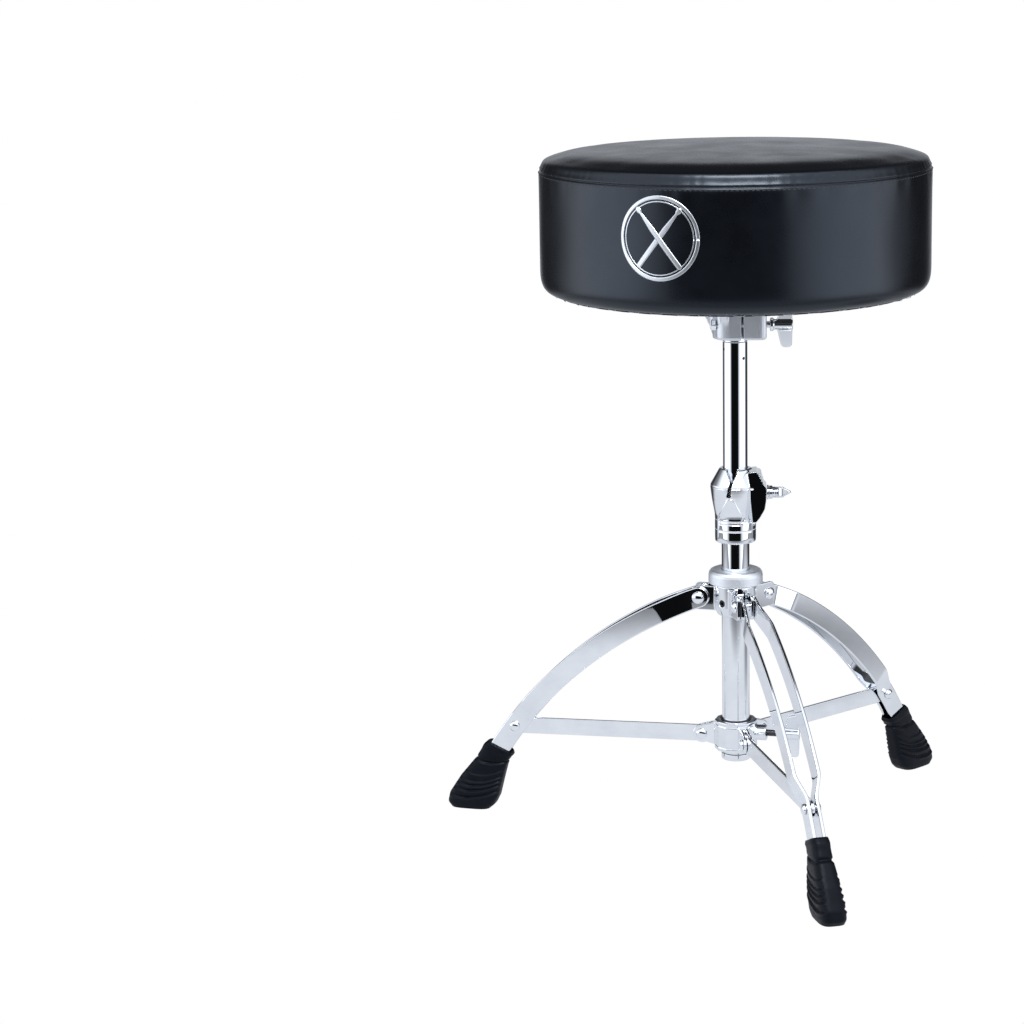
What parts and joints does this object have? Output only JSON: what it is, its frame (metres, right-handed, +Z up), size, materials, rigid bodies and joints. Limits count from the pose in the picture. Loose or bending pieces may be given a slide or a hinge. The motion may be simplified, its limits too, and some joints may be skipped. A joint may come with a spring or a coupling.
{
  "type": "drum throne",
  "caption": "Round padded drum throne: a telescoping chrome post with a wing-nut clamp over a folding, braced tripod of curved flat-bar legs with rubber feet.",
  "frame": {"origin": "middle of the footprint's bounding box, on the floor", "axes": "+Z up along the tube; -Y towards the viewer, with one leg towards the front right; both clamp nuts' axes along +X"},
  "size_m": [0.4657, 0.4765, 0.63],
  "materials": {
    "seat_vinyl": "satin",
    "plywood": "matte",
    "dust_cover": "matte",
    "chrome": "polished",
    "satin_aluminium": "satin",
    "dark_steel": "satin",
    "rubber": "matte",
    "black_plastic": "satin"
  },
  "bodies": {
    "base": {"base_tube": "chrome", "tube_end_cap": "chrome", "height_clamp_body": "chrome", "clamp_bushing": "black_plastic", "height_clamp_bolt": "dark_steel", "height_clamp_washer": "chrome", "stop_collar": "satin_aluminium", "collar_screw": "dark_steel", "leg_hub": "chrome", "hub_screw": "dark_steel"},
    "seat": {"seat_cushion": "seat_vinyl", "seat_board": "plywood", "seat_dust_cover": "dust_cover", "seat_bracket": "satin_aluminium", "seat_clamp_bolt": "chrome", "bracket_bolt_1": "chrome", "bracket_tee_nut_1": "satin_aluminium", "bracket_bolt_2": "chrome", "bracket_tee_nut_2": "satin_aluminium", "bracket_bolt_3": "chrome", "bracket_tee_nut_3": "satin_aluminium", "bracket_bolt_4": "chrome", "bracket_tee_nut_4": "satin_aluminium"},
    "seat_clamp_nut": {"seat_clamp_wing_nut": "chrome"},
    "post": {"seat_post": "chrome", "seat_spindle": "chrome", "post_plug": "black_plastic", "post_pin_1": "dark_steel", "post_pin_2": "dark_steel"},
    "height_clamp_nut": {"height_clamp_wing_nut": "chrome"},
    "brace_hub": {"brace_hub": "chrome", "brace_hub_bushing": "black_plastic", "brace_1_pivot_rivet": "chrome", "brace_2_pivot_rivet": "chrome", "brace_3_pivot_rivet": "chrome"},
    "leg_1": {"leg_1_strip_left": "chrome", "leg_1_strip_right": "chrome", "leg_1_pivot_rivet": "chrome", "leg_1_brace_pin_left": "chrome", "leg_1_brace_pin_right": "chrome", "leg_1_foot": "rubber"},
    "brace_1": {"brace_1": "chrome"},
    "leg_2": {"leg_2_strip_left": "chrome", "leg_2_strip_right": "chrome", "leg_2_pivot_rivet": "chrome", "leg_2_brace_pin_left": "chrome", "leg_2_brace_pin_right": "chrome", "leg_2_foot": "rubber"},
    "brace_2": {"brace_2": "chrome"},
    "leg_3": {"leg_3_strip_left": "chrome", "leg_3_strip_right": "chrome", "leg_3_pivot_rivet": "chrome", "leg_3_brace_pin_left": "chrome", "leg_3_brace_pin_right": "chrome", "leg_3_foot": "rubber"},
    "brace_3": {"brace_3": "chrome"},
    "tripod_lock": {"tripod_lock_screw": "dark_steel", "tripod_lock_wing": "chrome"}
  },
  "joints": [
    {"name": "post_height", "type": "slide", "parent": "base", "child": "post", "axis": [0, 0, 1], "range_m": [-0.1, 0.04]},
    {"name": "seat_swivel", "type": "hinge", "parent": "post", "child": "seat", "pos_m": [0.03892, 0.02801, 0.48], "axis": [0, 0, 1], "continuous": true},
    {"name": "seat_clamp_nut_turn", "type": "hinge", "parent": "seat", "child": "seat_clamp_nut", "pos_m": [0.06992, 0.01081, 0.473], "axis": [1, 0, 0], "continuous": true},
    {"name": "height_clamp_nut_turn", "type": "hinge", "parent": "base", "child": "height_clamp_nut", "pos_m": [0.06902, 0.01151, 0.3205], "axis": [1, 0, 0], "continuous": true},
    {"name": "tripod_lock_turn", "type": "hinge", "parent": "brace_hub", "child": "tripod_lock", "pos_m": [0.07748, 0.01946, 0.092], "axis": [0.9763, -0.2164, 0], "continuous": true},
    {"name": "leg_1_fold", "type": "hinge", "parent": "base", "child": "leg_1", "pos_m": [0.04896, -0.00383, 0.21849], "axis": [0.9537, 0.3007, 0], "range_deg": [0, 48]},
    {"name": "leg_2_fold", "type": "hinge", "parent": "base", "child": "leg_2", "pos_m": [0.06148, 0.05263, 0.21849], "axis": [-0.7373, 0.6756, 0], "range_deg": [0, 48]},
    {"name": "leg_3_fold", "type": "hinge", "parent": "base", "child": "leg_3", "pos_m": [0.00632, 0.03524, 0.21849], "axis": [-0.2164, -0.9763, 0], "range_deg": [0, 48]},
    {"name": "brace_hub_slide", "type": "slide", "parent": "base", "child": "brace_hub", "axis": [0, 0, 1], "range_m": [0, 0.0867]},
    {"name": "brace_1_swing", "type": "hinge", "parent": "brace_hub", "child": "brace_1", "pos_m": [0.04839, -0.00203, 0.088], "axis": [0.9537, 0.3007, 0], "range_deg": [0, 82]},
    {"name": "brace_2_swing", "type": "hinge", "parent": "brace_hub", "child": "brace_2", "pos_m": [0.0602, 0.05124, 0.088], "axis": [-0.7373, 0.6756, 0], "range_deg": [0, 82]},
    {"name": "brace_3_swing", "type": "hinge", "parent": "brace_hub", "child": "brace_3", "pos_m": [0.00817, 0.03483, 0.088], "axis": [-0.2164, -0.9763, 0], "range_deg": [0, 82]}
  ],
  "couplings": [
    {"joint": "leg_2_fold", "follows": "leg_1_fold", "ratio": 1},
    {"joint": "leg_3_fold", "follows": "leg_1_fold", "ratio": 1},
    {"joint": "brace_hub_slide", "follows": "leg_1_fold", "m_per_rad": 0.10343},
    {"joint": "brace_1_swing", "follows": "leg_1_fold", "ratio": 1.7067},
    {"joint": "brace_2_swing", "follows": "leg_1_fold", "ratio": 1.7067},
    {"joint": "brace_3_swing", "follows": "leg_1_fold", "ratio": 1.7067}
  ]
}
